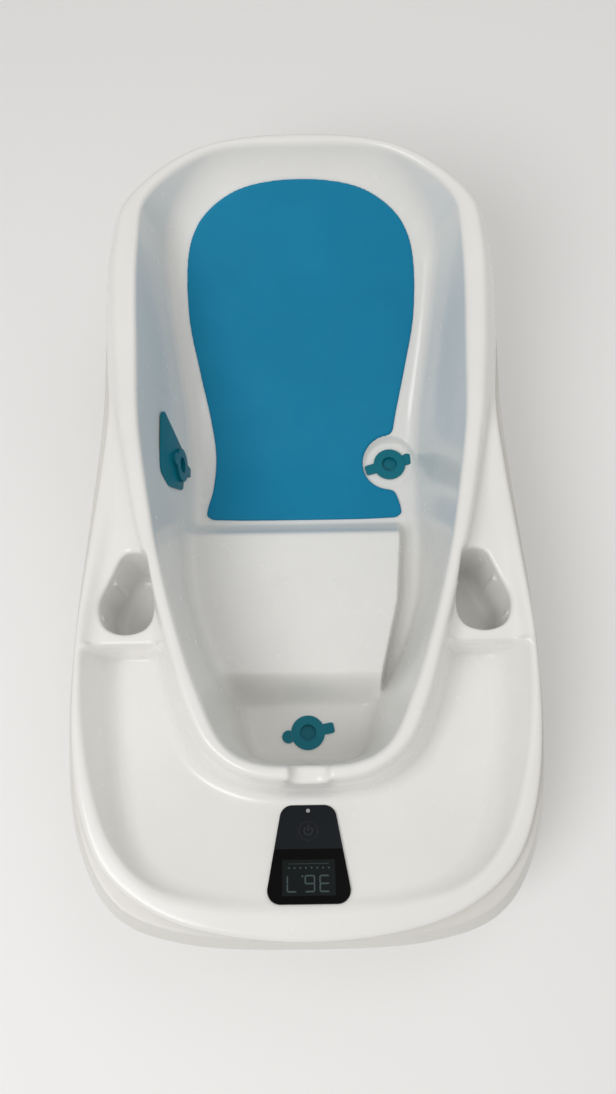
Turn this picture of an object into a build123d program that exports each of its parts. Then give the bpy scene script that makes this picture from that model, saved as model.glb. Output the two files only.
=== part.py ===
from build123d import *
from math import atan, cos, degrees, hypot, radians, sin, tan

# Infant bathtub with a rinse-water reservoir round its foot end, cup pockets, a padded back mat, three
# hinged drain plugs and a battery thermometer set in the foot apron.
# Frame: millimetres, +X right, +Y towards the head end, +Z up, origin on the ground under the box centre.

# ---- driving dimensions ----
WALL = 3.0
GROUND_GAP = 4.0                # rubber pad height
SKIRT_FLANGE = 26.0             # width of the ring the skirt stands on
LIP_DROP = 16.0                 # how far the outer lip turns down over the skirt
WIDE = 330.0                    # half width of the cutting prisms
TALL = 330.0                    # height of the cutting prisms

# Half outlines run from the foot centre round the right side to the head centre.
BASIN_BOTTOM = [(0, -239), (42, -237), (66, -222), (80, -168), (112, -112), (132, -54), (137, 0),
                (136, 95), (135, 181), (137, 290), (124, 345), (75, 380), (0, 388)]
BASIN_TOP = [(0, -258.5), (52, -255), (92, -234), (122, -185), (138, -120), (153.5, -54), (167, 0),
             (183, 95), (184, 181), (180, 300), (166, 360), (95, 409), (0, 416)]
BASIN_HEIGHT = 290.0
RIM_BASE = [(0, -281), (68, -276), (118, -247), (145, -195), (163, -135), (180, -60), (197, 0),
            (226, 95), (262, 181), (272, 300), (245, 390), (130, 450), (0, 462)]
RIM_CREST = [(0, -250), (45, -243), (72, -222), (96, -180), (116, -125), (140, -62), (159, 0),
             (173, 95), (176, 181), (186, 300), (172, 358), (100, 414), (0, 426)]
RIM_Z = (120, 290)
LIP = [(0, -414.5), (85, -407), (150, -387), (200, -348), (226, -292), (238, -215), (238, -120),
       (229, -35), (217, 60), (211, 132), (214, 220), (212, 300), (188, 362), (110, 413), (0, 427)]
RESERVOIR_LOW = [(0, -384), (80, -378), (140, -358), (176, -322), (196, -270), (206, -200), (207, -130),
                 (203, -60), (196, 0), (192, 60), (180, 99), (120, 120), (0, 125)]
RESERVOIR_HIGH = [(0, -398), (90, -393), (157, -376), (205, -334), (231, -275), (246, -200), (247, -120),
                  (235, -60), (221, 0), (209, 60), (190, 99), (120, 120), (0, 125)]
RESERVOIR_Z = (120, 220)
SKIRT_FOOT = [(0, -385), (100, -376), (165, -342), (198, -280), (206, -190), (198, -80), (184, 30),
              (172, 140), (158, 225), (120, 295), (60, 325), (0, 332)]
SKIRT_BULGE = [(0, -427), (120, -421), (196, -392), (236, -318), (248, -215), (245, -100), (234, 15),
               (224, 130), (221, 240), (200, 336), (120, 402), (0, 417)]
SKIRT_SHOULDER = [(0, -396), (105, -388), (176, -358), (213, -295), (224, -205), (222, -100), (209, 15),
                  (203, 130), (206, 240), (186, 338), (112, 401), (0, 416)]
BULGE_SLOPE = 0.092             # the widest line of the skirt climbs towards the head
BULGE_Z0 = 164.0                # its height above the origin
SHOULDER_RISE = 62.0            # from the widest line up to where the skirt tucks under the lip

# Side curves, (y, z) pairs.
RIM_CURVE = [(-460, 190.5), (-241, 194), (-46, 208), (114, 233), (264, 259), (470, 284)]
LIP_CURVE = [(-460, 163), (-246, 174), (-46, 189), (164, 214), (470, 254)]
WELL_Z = 14.0
SEAT_Z = 34.0
PLATEAU_Z = 61.0
FLOOR_STEPS = [(-330, WELL_Z), (-172, WELL_Z), (-137, PLATEAU_Z), (22, PLATEAU_Z), (52, SEAT_Z), (96, SEAT_Z)]
STEP_RADIUS = 12.0
BACK_CURVE = [(96, SEAT_Z), (112, SEAT_Z + 1), (178, 54), (254, 104), (330, 171), (397, 240), (470, 318)]
APRON_LOW = (-288, 131.5)
APRON_HIGH = (-395, 167.5)
RESERVOIR_FLOOR_Z = 125.0
SHELF_CURVE = [(-127, 171), (-45, 182), (99, 206), (200, 218), (330, 230), (470, 248)]

# Gutter beside the plateau, from the seat drain to the foot well.
GUTTER = [(119, 70), (112, -55), (96, -120), (78, -190), (190, -190), (190, 70)]
GUTTER_CURVE = [(-330, 16), (-172, 20), (20, 33), (70, 33)]

# Cup pockets
POCKET = [(166, -34), (190, -30), (216, -84), (212, -108), (190, -116), (166, -110), (158, -92)]
POCKET_DEPTH = 80.0
POCKET_TAPER = 2.4

# Spillway in the divider
SPILLWAY_WIDTH = 38.0
SPILLWAY_Z = 180.0
SPILLWAY_X = 2.0

# Back mat: half outline from the head centre to its foot corner
MAT = [(0, 396), (55, 392), (92, 381), (120, 362), (134, 334), (137, 285), (128, 235), (116, 180), (111, 140),
       (116, 98), (122, 68), (112, 56)]
MAT_T = 4.0
MAT_NOTCH_R = 35.0

# Drain plugs
FLANGE_R = 20.0
FLANGE_T = 3.0
SEAT_GAP = 0.3
STEM_TOP_R = 12.2
STEM_END_R = 11.0
STEM_LENGTH = 7.0
CUP_R = 9.6
CUP_DEPTH = 5.5
DRAIN_R = 13.2
HINGE_X = -19.4
HINGE_CLEARANCE = 0.2
ANCHOR_X = -23.5
ANCHOR_R = 7.5
ANCHOR_PEG_R = 2.5
ANCHOR_PEG_X = -25.0
TAB_END_X = 31.5
TAB_WIDTH = 12.5
COLLAR_R = 17.0
PAD_R = 34.0

FOOT_DRAIN = Plane((0.8, -204.5, WELL_Z), x_dir=(cos(radians(11)), sin(radians(11)), 0), z_dir=(0, 0, 1))
SEAT_DRAIN = Plane((109, 127.7, SEAT_Z), x_dir=(-cos(radians(16)), -sin(radians(16)), 0), z_dir=(0, 0, 1))
WALL_LEAN = degrees(atan((BASIN_TOP[7][0] - BASIN_BOTTOM[7][0]) / BASIN_HEIGHT))
INSERT_Y = 104.0
INSERT_Z = 122.0
INSERT_X = -(BASIN_BOTTOM[7][0] + tan(radians(WALL_LEAN)) * INSERT_Z)
INSERT_NORMAL = (cos(radians(WALL_LEAN)), 0, sin(radians(WALL_LEAN)))
INSERT_PLANE = Plane((INSERT_X, INSERT_Y, INSERT_Z), x_dir=(0, 1, 0), z_dir=INSERT_NORMAL)
INSERT_T = 3.0
INSERT_EDGE = 5.0
SIDE_DRAIN = (3, -30)           # in the insert's own plane
SIDE_TAB = (0.05, -1)

# Thermometer, on the apron's slope
APRON_SLOPE = atan((APRON_HIGH[1] - APRON_LOW[1]) / (APRON_LOW[0] - APRON_HIGH[0]))
PANEL_Y = -335.0
PANEL_Z = APRON_LOW[1] + (APRON_LOW[0] - PANEL_Y) * tan(APRON_SLOPE)
PANEL_PLANE = Plane((0, PANEL_Y, PANEL_Z), x_dir=(1, 0, 0), z_dir=(0, sin(APRON_SLOPE), cos(APRON_SLOPE)))
PANEL_NARROW = 27.0
PANEL_WIDE = 43.0
PANEL_HALF_LENGTH = 48.5
PANEL_CORNER = 13.0
PANEL_SPLIT = 4.0
RECESS = 2.5
GASKET_T = 0.8
HOUSING_FLANGE_T = 2.4
PLATE_T = 1.6
TRAY_INSET = 10.5
TRAY_WALL = 2.0
TRAY_DEPTH = 21.0
BUTTON_Y = 22.0
BUTTON_R = 9.0
SENSOR_Y = 42.5
SENSOR_R = 2.0
HOUSING_SCREWS = [(-22, 41.5), (22, 41.5), (-34, -39.5), (34, -39.5)]

FOOT_PADS = {
    "foot_pad_front_left": (-151, -338), "foot_pad_front_right": (151, -338),
    "foot_pad_rear_left": (-141, 247), "foot_pad_rear_right": (141, 247),
}
PAD_PEG_R = 3.0
# Each screw's x and y, and its boss's lower end and root
SKIRT_SCREWS = [(186, -240, 100, 124), (204, 20, 166, 191), (192, 230, 200, 252)]
LUG_T = 3.0
LUG_WIDTH = 20.0


# ---- helpers ----
def grown(points, grow):
    """A half outline moved outwards, square to the line through each point's neighbours."""
    first = (-points[1][0], points[1][1])
    last = (-points[-2][0], points[-2][1])
    chain = [first, *points, last]
    moved = []
    for before, here, after in zip(chain, chain[1:], chain[2:]):
        dx = after[0] - before[0]
        dy = after[1] - before[1]
        moved.append((here[0] + grow * dy / hypot(dx, dy), here[1] - grow * dx / hypot(dx, dy)))
    return moved


def moved_out(corners, amount):
    """A closed outline's corners, after each of its sides moves outwards by amount."""
    pairs = list(zip(corners, corners[1:] + corners[:1]))
    turn = 1 if sum(x0 * y1 - x1 * y0 for (x0, y0), (x1, y1) in pairs) > 0 else -1
    sides = []
    for (x0, y0), (x1, y1) in pairs:
        size = hypot(x1 - x0, y1 - y0)
        normal = (turn * (y1 - y0) / size, -turn * (x1 - x0) / size)
        sides.append((normal, normal[0] * x0 + normal[1] * y0 + amount))
    result = []
    for (a, reach_a), (b, reach_b) in zip(sides[-1:] + sides[:-1], sides):
        det = a[0] * b[1] - a[1] * b[0]
        result.append(((reach_a * b[1] - reach_b * a[1]) / det, (a[0] * reach_b - b[0] * reach_a) / det))
    return result


def ring_sketch(points, plane):
    """A face inside a half outline and its mirror image."""
    with BuildSketch(plane) as face:
        with BuildLine():
            Spline(*points)
            mirror(about=Plane.YZ)
        make_face()
    return face.sketch


def drafted(low, high, planes, grow=0.0):
    """A block whose outline changes from low, on the first plane, to high, on the second."""
    with BuildPart() as block:
        add(ring_sketch(grown(low, grow), planes[0]))
        add(ring_sketch(grown(high, grow), planes[1]))
        loft(ruled=True)
    return block.part


def levels(*heights):
    return [Plane.XY.offset(height) for height in heights]


def side_prism(curves, far_z):
    """The space between side curves, joined end to end, and the level far_z, right across the tub."""
    with BuildPart() as prism:
        with BuildSketch(Plane.YZ):
            with BuildLine():
                drawn = [curve() for curve in curves]
                start = drawn[0] @ 0
                end = drawn[-1] @ 1
                Polyline(end, (end.X, far_z), (start.X, far_z), start)
            make_face()
        extrude(amount=WIDE, both=True)
    return prism.part


def shifted(points, rise):
    return [(y, z + rise) for y, z in points]


def rim_curve(rise=0.0):
    return [lambda: Spline(*shifted(RIM_CURVE, rise))]


def lip_curve(rise=0.0):
    return [lambda: Spline(*shifted(LIP_CURVE, rise))]


def floor_curve(rise=0.0):
    steps = shifted(FLOOR_STEPS, rise)
    back = shifted(BACK_CURVE, rise)
    return [
        lambda: FilletPolyline(*steps, radius=STEP_RADIUS),
        lambda: Spline(*back),
    ]


def reservoir_curve(rise=0.0):
    slope = tan(APRON_SLOPE)
    start = (-440, APRON_HIGH[1] + slope * (440 + APRON_HIGH[0]) + rise)
    flat_y = APRON_LOW[0] + (APRON_LOW[1] - RESERVOIR_FLOOR_Z) / slope
    wall_foot = (SHELF_CURVE[0][0] - 3, RESERVOIR_FLOOR_Z + rise)
    shelf = shifted(SHELF_CURVE, rise)
    return [
        lambda: Polyline(start, (flat_y, RESERVOIR_FLOOR_Z + rise), wall_foot, shelf[0]),
        lambda: Spline(*shelf),
    ]


def basin(grow=0.0):
    """The bathing space, with its gutter, grown by a wall's thickness for the moulding round it."""
    with BuildPart() as gutter:
        with BuildSketch(Plane.XY.offset(-10)):
            with BuildLine():
                Polyline(*moved_out(GUTTER, grow), close=True)
            make_face()
        extrude(amount=TALL)
        add(side_prism([lambda: Polyline(*shifted(GUTTER_CURVE, -grow))], TALL), mode=Mode.INTERSECT)
    with BuildPart() as space:
        add(side_prism(floor_curve(-grow), TALL))
        add(gutter.part)
        with Locations((SEAT_DRAIN.origin.X, SEAT_DRAIN.origin.Y, SEAT_Z - grow)):
            Cylinder(PAD_R + grow, TALL, align=(Align.CENTER, Align.CENTER, Align.MIN))
        add(drafted(BASIN_BOTTOM, BASIN_TOP, levels(0, BASIN_HEIGHT), grow), mode=Mode.INTERSECT)
    return space.part


def lip_block(grow=0.0):
    with BuildPart() as block:
        with BuildSketch(Plane.XY.offset(60)):
            add(ring_sketch(grown(LIP, grow), Plane.XY))
        extrude(amount=TALL)
    return block.part


def rim_block(grow=0.0):
    """The raised rim and divider, hollow below when made again with a negative grow."""
    with BuildPart() as block:
        add(drafted(RIM_BASE, RIM_CREST, levels(*RIM_Z), grow))
        add(lip_block(grow), mode=Mode.INTERSECT)
        add(side_prism(rim_curve(grow), -10), mode=Mode.INTERSECT)
    return block.part


def reservoir(grow=0.0):
    with BuildPart() as space:
        add(drafted(RESERVOIR_LOW, RESERVOIR_HIGH, levels(*RESERVOIR_Z), grow))
        add(side_prism(reservoir_curve(-grow), TALL), mode=Mode.INTERSECT)
        add(side_prism(lip_curve(1.0), -10), mode=Mode.INTERSECT)
    return space.part


def pocket(side, grow=0.0):
    """One cup pocket, narrowing downwards."""
    top = SHELF_CURVE[0][1] + 30
    with BuildPart() as space:
        with BuildSketch(Plane.XY.offset(top)):
            with BuildLine():
                Polyline(*[(side * x, y) for x, y in moved_out(POCKET, grow)], close=True)
            make_face()
            fillet(vertices(), radius=9 + grow)
        extrude(amount=-(POCKET_DEPTH + 30 + grow), taper=POCKET_TAPER)
    return space.part


def spillway(grow=0.0):
    with BuildPart() as notch:
        with BuildSketch(Plane.XZ.offset(225)):
            with Locations((SPILLWAY_X, SPILLWAY_Z - grow + 30)):
                RectangleRounded(SPILLWAY_WIDTH + 2 * grow, 60, 9 + grow)
        extrude(amount=70)
    return notch.part


def panel_outline(inset=0.0, from_y=-99.0, to_y=99.0):
    """The thermometer's outline on its own plane, cut off at two levels."""
    with BuildSketch(PANEL_PLANE) as outline:
        corners = [(-PANEL_WIDE, -PANEL_HALF_LENGTH), (PANEL_WIDE, -PANEL_HALF_LENGTH),
                   (PANEL_NARROW, PANEL_HALF_LENGTH), (-PANEL_NARROW, PANEL_HALF_LENGTH)]
        with BuildLine():
            Polyline(*moved_out(corners, -inset), close=True)
        make_face()
        fillet(vertices(), radius=max(PANEL_CORNER - inset, 2))
        with Locations((0, (from_y + to_y) / 2)):
            Rectangle(200, to_y - from_y, mode=Mode.INTERSECT)
    return outline.sketch


def panel_plate(low, high, inset=0.0, from_y=-99.0, to_y=99.0):
    """A slab of that outline between two heights above the apron."""
    shape = extrude(panel_outline(inset, from_y, to_y), amount=high - low, mode=Mode.PRIVATE)
    return shape.moved(Location(PANEL_PLANE.z_dir * low))


def panel_level(height):
    return PANEL_PLANE.offset(height)


def on_plane(plane, x, y, height=0.0):
    """The plane moved along itself to x, y, and up to a height."""
    return Plane(plane.from_local_coords((x, y, height)), x_dir=plane.x_dir, z_dir=plane.z_dir)


def rod(plane, radius, low, high):
    """A round bar along a plane's normal."""
    with BuildPart() as bar:
        with BuildSketch(plane.offset(low)):
            Circle(radius)
        extrude(amount=high - low)
    return bar.part


def drop_outline(inset=0.0):
    """The side drain insert: a drop lying on its side, with its point towards the head."""
    with BuildSketch(INSERT_PLANE) as outline:
        corners = [(46, 42), (-32, 38), (-38, 8), (-24, -44), (22, -48), (32, -14)]
        with BuildLine():
            Polyline(*moved_out(corners, -inset), close=True)
        make_face()
        fillet(vertices(), radius=max(9 - inset, 3))
    return outline.sketch


SIDE_X_DIR = INSERT_PLANE.from_local_coords((*SIDE_TAB, 0)) - INSERT_PLANE.from_local_coords((0, 0, 0))
SIDE_DRAIN_PLANE = Plane(INSERT_PLANE.from_local_coords((*SIDE_DRAIN, INSERT_T)), x_dir=SIDE_X_DIR,
                         z_dir=INSERT_PLANE.z_dir)


def skirt_block(grow=0.0):
    """The space inside the skirt's outer surface, widest along a line that climbs to the head."""
    climb = (0, -BULGE_SLOPE, 1)
    bulge = Plane((0, 0, BULGE_Z0), x_dir=(1, 0, 0), z_dir=climb)
    shoulder = Plane((0, 0, BULGE_Z0 + SHOULDER_RISE), x_dir=(1, 0, 0), z_dir=climb)
    with BuildPart() as block:
        add(drafted(SKIRT_FOOT, SKIRT_BULGE, [Plane.XY.offset(GROUND_GAP), bulge], grow))
        add(drafted(SKIRT_BULGE, SKIRT_SHOULDER, [bulge, shoulder], grow))
        add(side_prism(lip_curve(-LIP_DROP - 0.5), -10), mode=Mode.INTERSECT)
    return block.part


def finish_part(shape, name):
    """Label a piece and write its file."""
    shape.label = name
    export_step(shape, f"parts/{name}.step")
    solids = shape.solids()
    print(f"{name}: {len(solids)} solid(s), {sum(solid.volume for solid in solids) / 1000:.2f} cm3")


rim_solid = rim_block()
rim_hollow = rim_block(-WALL)
reservoir_floor = side_prism(reservoir_curve(-WALL), TALL)
under_lip = side_prism(lip_curve(), -10)

# ---- tub_shell: basin, reservoir, cup pockets, rims and lip in one moulding ----
with BuildPart() as lip_inside:
    add(lip_block(-WALL))
    add(side_prism(lip_curve(-WALL), -10), mode=Mode.INTERSECT)

with BuildPart() as rim_cap:
    add(rim_solid)
    add(rim_hollow, mode=Mode.SUBTRACT)
    add(reservoir_floor, mode=Mode.INTERSECT)

with BuildPart() as lip_cap:
    add(lip_block())
    add(under_lip, mode=Mode.INTERSECT)
    add(side_prism(lip_curve(-LIP_DROP), TALL), mode=Mode.INTERSECT)
    add(lip_inside.part, mode=Mode.SUBTRACT)
    add(rim_hollow, mode=Mode.SUBTRACT)

with BuildPart() as reservoir_wall:
    add(reservoir(WALL))
    add(under_lip, mode=Mode.INTERSECT)
    add(rim_hollow, mode=Mode.SUBTRACT)

with BuildPart() as basin_wall:
    add(basin(WALL))
    add(side_prism(rim_curve(), -10), mode=Mode.INTERSECT)

with BuildPart() as reservoir_space:
    add(reservoir())
    add(rim_solid, mode=Mode.SUBTRACT)

with BuildPart() as pocket_walls:
    for side in (-1, 1):
        add(pocket(side, WALL))
    add(side_prism([lambda: Polyline(*SHELF_CURVE)], -10), mode=Mode.INTERSECT)

with BuildPart() as spillway_wall:
    add(spillway(WALL))
    add(rim_solid, mode=Mode.INTERSECT)

with BuildPart() as bosses:
    for x, y in HOUSING_SCREWS:
        add(rod(on_plane(PANEL_PLANE, x, y), 3.5, -13, -RECESS - 1))
    for drain in (FOOT_DRAIN, SEAT_DRAIN):
        add(rod(drain, COLLAR_R, -10, -1))
        add(rod(on_plane(drain, ANCHOR_PEG_X, 0), ANCHOR_PEG_R + 2, -8, -1))
    for x, y, low, high in SKIRT_SCREWS:
        with Locations((x, y, low), (-x, y, low)):
            Cylinder(5, high - low, align=(Align.CENTER, Align.CENTER, Align.MIN))

with BuildPart() as openings:
    add(basin())
    add(reservoir_space.part)
    for side in (-1, 1):
        add(pocket(side))
    add(spillway())
    for drain in (FOOT_DRAIN, SEAT_DRAIN):
        add(rod(drain, DRAIN_R, -20, 10))
        add(rod(on_plane(drain, ANCHOR_PEG_X, 0), ANCHOR_PEG_R, -20, 5))
    add(panel_plate(-RECESS, 8, -0.5))
    add(panel_plate(-30, 8, TRAY_INSET - 0.4))
    add(extrude(drop_outline(INSERT_EDGE), amount=20, both=True))
    add(rod(SIDE_DRAIN_PLANE, DRAIN_R, -20, 10))

with BuildPart() as screw_holes:
    for x, y in HOUSING_SCREWS:
        add(rod(on_plane(PANEL_PLANE, x, y), 1.4, -12, 5))
    for x, y, low, high in SKIRT_SCREWS:
        with Locations((x, y, low - 1), (-x, y, low - 1)):
            Cylinder(1.75, 13, align=(Align.CENTER, Align.CENTER, Align.MIN))

with BuildPart() as tub_shell:
    add([basin_wall.part, rim_cap.part, lip_cap.part, reservoir_wall.part, pocket_walls.part,
         spillway_wall.part, bosses.part, panel_plate(-RECESS - WALL, -WALL + 0.5, -WALL)])
    add([openings.part, screw_holes.part], mode=Mode.SUBTRACT)
finish_part(tub_shell.part, "tub_shell")

# ---- outer_skirt ----
with BuildPart() as flange:
    with BuildSketch(Plane.XY.offset(GROUND_GAP)):
        add(ring_sketch(SKIRT_FOOT, Plane.XY))
        add(ring_sketch(grown(SKIRT_FOOT, -SKIRT_FLANGE), Plane.XY), mode=Mode.SUBTRACT)
    extrude(amount=WALL)

skirt_solid = skirt_block()
with BuildPart() as lugs:
    for x, y, low, high in SKIRT_SCREWS:
        with Locations((x + 20, y, low - 0.1), (-x - 20, y, low - 0.1)):
            Box(2 * 29, LUG_WIDTH, LUG_T, align=(Align.CENTER, Align.CENTER, Align.MAX))
    add(skirt_solid, mode=Mode.INTERSECT)

with BuildPart() as outer_skirt:
    add(skirt_solid)
    add(skirt_block(-WALL), mode=Mode.SUBTRACT)
    add(flange.part)
    add(lugs.part)
    for x, y, low, high in SKIRT_SCREWS:
        with Locations((x, y, low + 1), (-x, y, low + 1)):
            Cylinder(2.0, 10, align=(Align.CENTER, Align.CENTER, Align.MAX), mode=Mode.SUBTRACT)
    for x, y in FOOT_PADS.values():
        with Locations((x, y, 0)):
            Cylinder(PAD_PEG_R, 10, align=(Align.CENTER, Align.CENTER, Align.MIN), mode=Mode.SUBTRACT)
finish_part(outer_skirt.part, "outer_skirt")

with BuildPart() as skirt_screws:
    for x, y, low, high in SKIRT_SCREWS:
        with Locations((x, y, low - 0.1 - LUG_T), (-x, y, low - 0.1 - LUG_T)):
            Cylinder(1.7, 13, align=(Align.CENTER, Align.CENTER, Align.MIN))
            Cylinder(3.6, 2.4, align=(Align.CENTER, Align.CENTER, Align.MAX))
finish_part(skirt_screws.part, "skirt_screws")

# ---- rubber feet ----
for name, (x, y) in FOOT_PADS.items():
    with BuildPart() as foot_pad:
        with Locations((x, y, 0)):
            Cylinder(12, GROUND_GAP, align=(Align.CENTER, Align.CENTER, Align.MIN))
            Cylinder(PAD_PEG_R, GROUND_GAP + WALL + 1, align=(Align.CENTER, Align.CENTER, Align.MIN))
            with Locations((0, 0, GROUND_GAP + WALL)):
                Cylinder(PAD_PEG_R + 1, 1.5, align=(Align.CENTER, Align.CENTER, Align.MIN))
    finish_part(foot_pad.part, name)

# ---- back_mat: a foam pad over the seat and the back, notched round the seat drain ----
with BuildPart() as back_mat:
    with BuildSketch(Plane.XY):
        with BuildLine():
            edge = Spline(*reversed(MAT), *[(-x, y) for x, y in MAT[1:]])
            Line(edge @ 1, edge @ 0)
        make_face()
        with Locations((SEAT_DRAIN.origin.X, SEAT_DRAIN.origin.Y)):
            Circle(MAT_NOTCH_R, mode=Mode.SUBTRACT)
        fillet(vertices(), radius=7)
    extrude(amount=TALL)
    add(side_prism(floor_curve(0), TALL), mode=Mode.INTERSECT)
    add(side_prism(floor_curve(MAT_T), -10), mode=Mode.INTERSECT)
finish_part(back_mat.part, "back_mat")

# ---- side_drain_insert: set through the left wall ----
with BuildPart() as side_drain_insert:
    face = extrude(drop_outline(), amount=INSERT_T - 0.6, mode=Mode.PRIVATE)
    add(face.moved(Location(INSERT_PLANE.z_dir * 0.6)))
    add(extrude(drop_outline(INSERT_EDGE + 0.4), amount=-5.4, mode=Mode.PRIVATE))
    add(extrude(drop_outline(INSERT_EDGE + 0.4), amount=1, mode=Mode.PRIVATE))
    add(rod(SIDE_DRAIN_PLANE, DRAIN_R, -20, 10), mode=Mode.SUBTRACT)
    add(rod(on_plane(SIDE_DRAIN_PLANE, ANCHOR_PEG_X, 0), ANCHOR_PEG_R, -20, 5), mode=Mode.SUBTRACT)
finish_part(side_drain_insert.part, "side_drain_insert")


# ---- drain plugs, each with the anchor that its strap is moulded to ----
def drain_plug(place):
    """Cup-shaped stopper with a pull tab. Its strap bends on a line beside the anchor."""
    with BuildPart() as plug:
        with BuildSketch(place.offset(SEAT_GAP)):
            Circle(FLANGE_R)
            with Locations((FLANGE_R / 2 + TAB_END_X / 2 - 5, 0)):
                RectangleRounded(TAB_END_X - FLANGE_R + 10, TAB_WIDTH, 3)
            with Locations((HINGE_X + HINGE_CLEARANCE - 20, 0)):
                Rectangle(40, 60, mode=Mode.SUBTRACT)
        extrude(amount=FLANGE_T)
        with BuildSketch(place.offset(SEAT_GAP)):
            Circle(STEM_TOP_R)
        with BuildSketch(place.offset(SEAT_GAP - STEM_LENGTH)):
            Circle(STEM_END_R)
        loft()
        with BuildSketch(place.offset(SEAT_GAP + FLANGE_T)):
            Circle(CUP_R)
        extrude(amount=-CUP_DEPTH, mode=Mode.SUBTRACT)
    return plug.part


def plug_anchor(place):
    """Round button pressed into the moulding beside the drain."""
    with BuildPart() as anchor:
        with BuildSketch(place):
            with Locations((ANCHOR_X, 0)):
                Circle(ANCHOR_R)
            with Locations((HINGE_X + 20, 0)):
                Rectangle(40, 60, mode=Mode.SUBTRACT)
        extrude(amount=SEAT_GAP + FLANGE_T)
        add(rod(on_plane(place, ANCHOR_PEG_X, 0), ANCHOR_PEG_R, -9, 1))
        add(rod(on_plane(place, ANCHOR_PEG_X, 0), ANCHOR_PEG_R + 0.9, -10.5, -8.6))
    return anchor.part


for name, place in (("foot_plug", FOOT_DRAIN), ("seat_plug", SEAT_DRAIN), ("side_plug", SIDE_DRAIN_PLANE)):
    finish_part(drain_plug(place), name)
    finish_part(plug_anchor(place), name + "_anchor")

# ---- thermometer ----
SEAL_TOP = -RECESS + GASKET_T
FLANGE_TOP = SEAL_TOP + HOUSING_FLANGE_T
PLATE_TOP = FLANGE_TOP + PLATE_T
TRAY_BASE = -TRAY_DEPTH
LCD_T = 1.5


def lcd_block(thickness, gap=0.0):
    """The display glass, or with a gap the pocket that it lies in."""
    with BuildPart() as block:
        with BuildSketch(panel_level(FLANGE_TOP - 0.1 + gap)):
            with Locations((0, -17.5)):
                RectangleRounded(52 + 2 * gap, 34 + 2 * gap, 1.5)
        extrude(amount=-thickness - gap)
    return block.part


with BuildPart() as housing_gasket:
    add(panel_plate(-RECESS, SEAL_TOP, 0))
    add(panel_plate(-RECESS - 1, SEAL_TOP + 1, TRAY_INSET - 0.4), mode=Mode.SUBTRACT)
    for x, y in HOUSING_SCREWS:
        add(rod(on_plane(PANEL_PLANE, x, y), 1.8, -9, 9), mode=Mode.SUBTRACT)
finish_part(housing_gasket.part, "housing_gasket")

with BuildPart() as thermometer_housing:
    add(panel_plate(SEAL_TOP, FLANGE_TOP, 0))
    add(panel_plate(TRAY_BASE, SEAL_TOP + 1, TRAY_INSET))
    add(panel_plate(TRAY_BASE - 1, FLANGE_TOP + 1, TRAY_INSET + TRAY_WALL), mode=Mode.SUBTRACT)
    for x, y in HOUSING_SCREWS:
        add(rod(on_plane(PANEL_PLANE, x, y), 1.6, -9, 9), mode=Mode.SUBTRACT)
        add(rod(on_plane(PANEL_PLANE, x, y), 2.7, FLANGE_TOP - 1.4, 9), mode=Mode.SUBTRACT)
    add(lcd_block(LCD_T + 0.2, 0.2), mode=Mode.SUBTRACT)
finish_part(thermometer_housing.part, "thermometer_housing")

with BuildPart() as housing_screws:
    for x, y in HOUSING_SCREWS:
        add(rod(on_plane(PANEL_PLANE, x, y), 1.4, -9, FLANGE_TOP - 1.2))
        add(rod(on_plane(PANEL_PLANE, x, y), 2.5, FLANGE_TOP - 1.4, FLANGE_TOP - 0.1))
finish_part(housing_screws.part, "housing_screws")

with BuildPart() as display_window:
    add(panel_plate(FLANGE_TOP, PLATE_TOP, 0, to_y=PANEL_SPLIT - 0.1))
finish_part(display_window.part, "display_window")

with BuildPart() as button_cover:
    add(panel_plate(FLANGE_TOP, PLATE_TOP, 0, from_y=PANEL_SPLIT + 0.1))
    add(rod(on_plane(PANEL_PLANE, 0, BUTTON_Y), BUTTON_R + 0.2, -9, 9), mode=Mode.SUBTRACT)
    add(rod(on_plane(PANEL_PLANE, 0, SENSOR_Y), SENSOR_R, -9, 9), mode=Mode.SUBTRACT)
finish_part(button_cover.part, "button_cover")

with BuildPart() as power_button:
    add(rod(on_plane(PANEL_PLANE, 0, BUTTON_Y), BUTTON_R, -0.6, PLATE_TOP + 0.2))
finish_part(power_button.part, "power_button")

with BuildPart() as temperature_sensor:
    add(rod(on_plane(PANEL_PLANE, 0, SENSOR_Y), SENSOR_R, FLANGE_TOP, PLATE_TOP + 0.5))
finish_part(temperature_sensor.part, "temperature_sensor")

finish_part(lcd_block(LCD_T), "lcd_panel")

BOARD_TOP = -3.6
with BuildPart() as circuit_board:
    add(panel_plate(BOARD_TOP - 1.6, BOARD_TOP, TRAY_INSET + TRAY_WALL + 0.2))
finish_part(circuit_board.part, "circuit_board")

with BuildPart() as button_switch:
    with BuildSketch(panel_level(BOARD_TOP)):
        with Locations((0, BUTTON_Y)):
            RectangleRounded(6, 6, 1)
    extrude(amount=2.1)
finish_part(button_switch.part, "button_switch")

CELL_R = 5.2
CELL_LENGTH = 44.0
CELL_Z = BOARD_TOP - 1.6 - 0.5 - CELL_R
CELL_YS = (-26.0, -14.5)
with BuildPart() as battery_cells:
    for y in CELL_YS:
        cell_plane = Plane(PANEL_PLANE.from_local_coords((0, y, CELL_Z)), x_dir=(0, 1, 0), z_dir=(1, 0, 0))
        add(rod(cell_plane, CELL_R, -CELL_LENGTH / 2, CELL_LENGTH / 2 - 0.9))
        add(rod(cell_plane, 1.9, CELL_LENGTH / 2 - 1, CELL_LENGTH / 2))
finish_part(battery_cells.part, "battery_cells")

with BuildPart() as battery_contacts:
    for x in (-CELL_LENGTH / 2 - 0.4, CELL_LENGTH / 2 + 0.4):
        with BuildSketch(panel_level(CELL_Z)):
            with Locations((x, sum(CELL_YS) / 2)):
                Rectangle(0.7, 20)
        extrude(amount=4, both=True)
finish_part(battery_contacts.part, "battery_contacts")

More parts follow.
